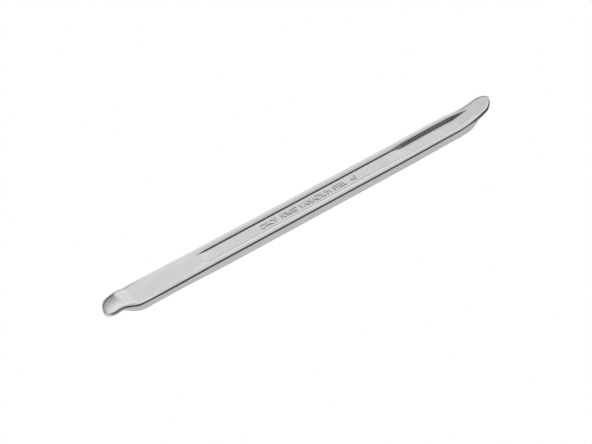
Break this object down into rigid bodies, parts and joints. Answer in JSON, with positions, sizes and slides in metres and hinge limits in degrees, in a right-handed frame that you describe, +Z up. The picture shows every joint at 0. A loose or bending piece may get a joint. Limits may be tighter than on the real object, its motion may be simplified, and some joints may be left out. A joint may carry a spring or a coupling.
{
  "type": "tyre lever",
  "caption": "Forged steel lever with recessed faces, a hooked scoop at one end and an upturned spoon at the other, for prising a tyre bead over a wheel rim.",
  "frame": {"origin": "middle of the bounding box at its lowest plane, which is the flat underside", "axes": "+X along the bar towards the upturned spoon, -X towards the hooked scoop, +Z up out of the face with the deep channel"},
  "size_m": [0.4, 0.0254, 0.0181],
  "materials": {
    "steel": "satin plated, ground bright on the blades"
  },
  "bodies": {
    "root": {"forged_lever": "steel"}
  },
  "joints": []
}
